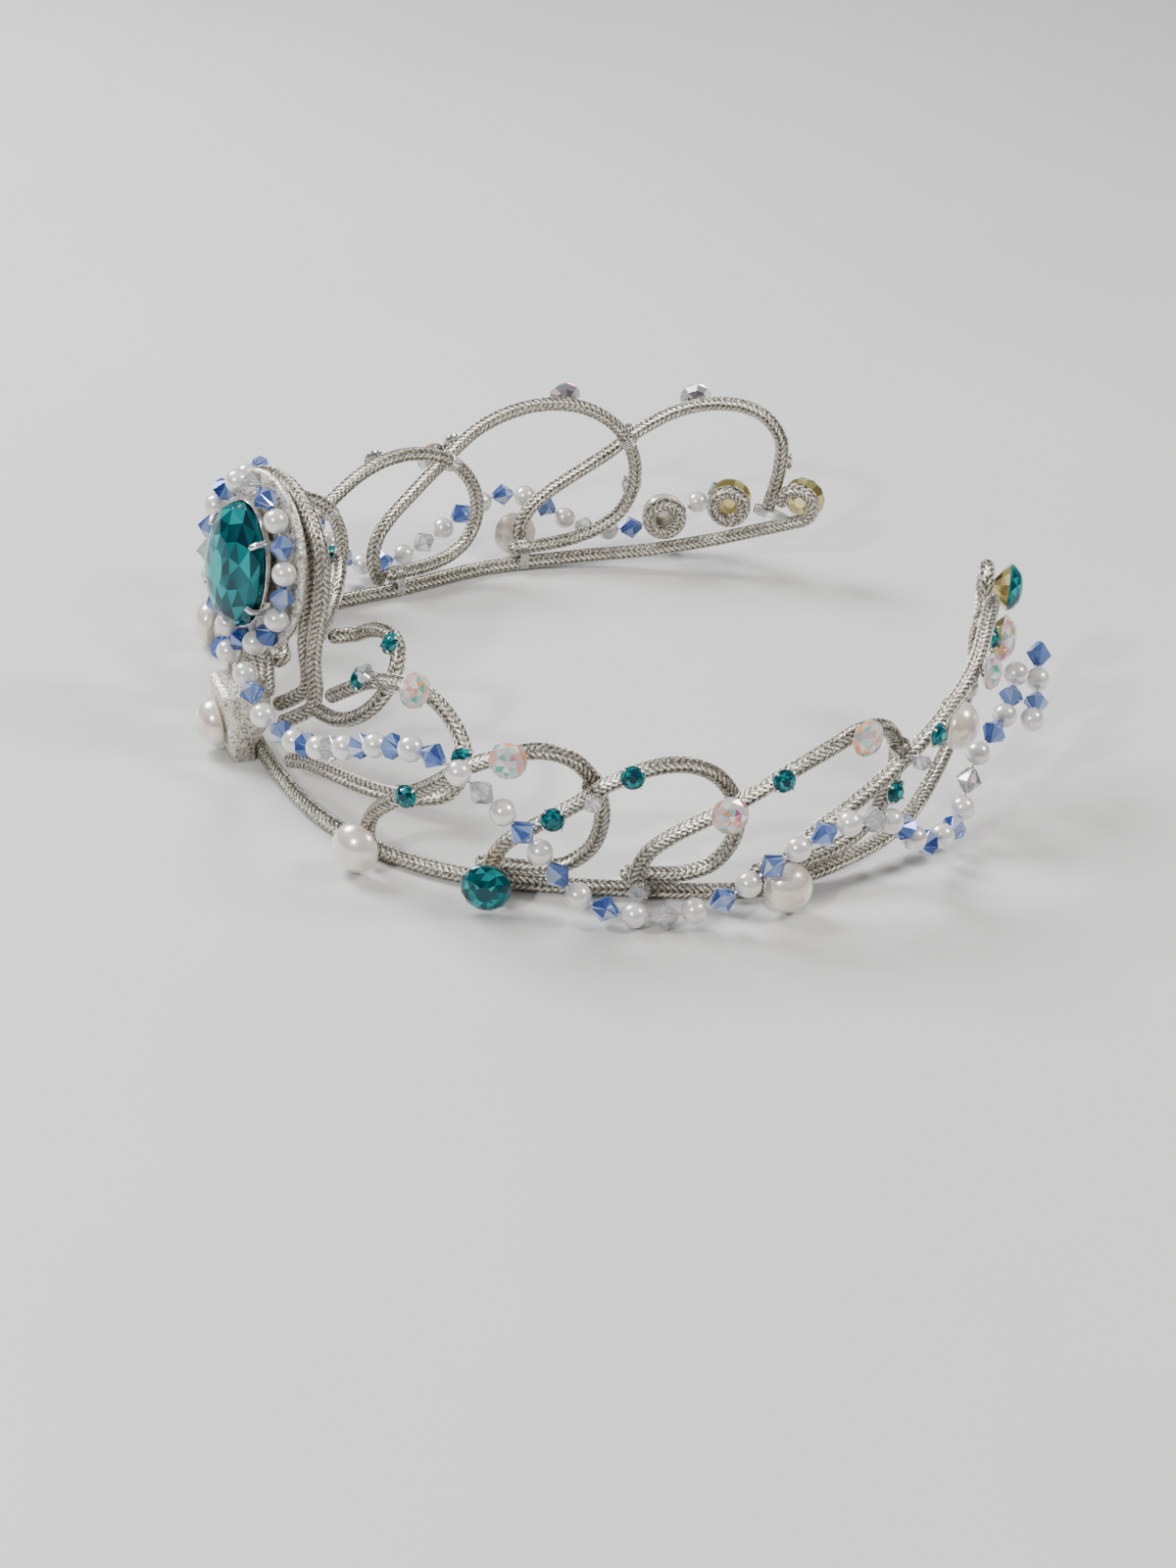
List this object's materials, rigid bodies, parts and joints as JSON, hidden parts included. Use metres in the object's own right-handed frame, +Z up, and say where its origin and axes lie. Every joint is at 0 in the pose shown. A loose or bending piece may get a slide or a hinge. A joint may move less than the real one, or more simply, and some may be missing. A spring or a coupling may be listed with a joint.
{
  "type": "ballet tiara",
  "caption": "Open wreath of braided cord loops with faceted stones, half pearls and bead strands, and an oval stone in a bead ring at the front.",
  "frame": {"origin": "on the flat underside of the small pad at the front, in the middle of its width", "axes": "+Z up, -Y towards the front, +X to the right as seen from the front"},
  "size_m": [0.1407, 0.1321, 0.0465],
  "materials": {
    "cord": "braided metallic yarn",
    "setting": "bright plated",
    "teal_glass": "faceted, foiled back",
    "clear_glass": "faceted, iridescent coat",
    "pearl": "pearl lustre",
    "beads": "pearls and faceted glass bicones",
    "mesh": "metallic mesh"
  },
  "bodies": {
    "root": {"arch_inner": "cord", "arch_outer": "cord", "base_cord": "cord", "bead_ring": "beads", "centre_plate": "mesh", "centre_setting": "setting", "centre_stone": "teal_glass", "front_half_pearl": "pearl", "front_pad": "mesh", "left_curl_1": "cord", "left_curl_2": "cord", "left_curl_pearl": "pearl", "left_curl_stone": "clear_glass", "left_end_stone": "teal_glass", "left_foot_stone": "teal_glass", "left_half_pearl_3": "pearl", "left_half_pearl_6": "pearl", "left_loop_1": "cord", "left_loop_2": "cord", "left_loop_3": "cord", "left_loop_4": "cord", "left_loop_5": "cord", "left_loop_6": "cord", "left_round_stone_1": "clear_glass", "left_round_stone_2": "clear_glass", "left_round_stone_3": "clear_glass", "left_round_stone_4": "clear_glass", "left_round_stone_5": "clear_glass", "left_strand": "beads", "right_curl_1": "cord", "right_curl_2": "cord", "right_curl_pearl": "pearl", "right_curl_stone": "clear_glass", "right_end_stone": "teal_glass", "right_end_strand": "beads", "right_foot_stone": "teal_glass", "right_half_pearl_3": "pearl", "right_half_pearl_6": "pearl", "right_loop_1": "cord", "right_loop_2": "cord", "right_loop_3": "cord", "right_loop_4": "cord", "right_loop_5": "cord", "right_loop_6": "cord", "right_round_stone_1": "clear_glass", "right_round_stone_2": "clear_glass", "right_round_stone_3": "clear_glass", "right_round_stone_4": "clear_glass", "right_round_stone_5": "clear_glass", "right_strand": "beads"}
  },
  "joints": []
}
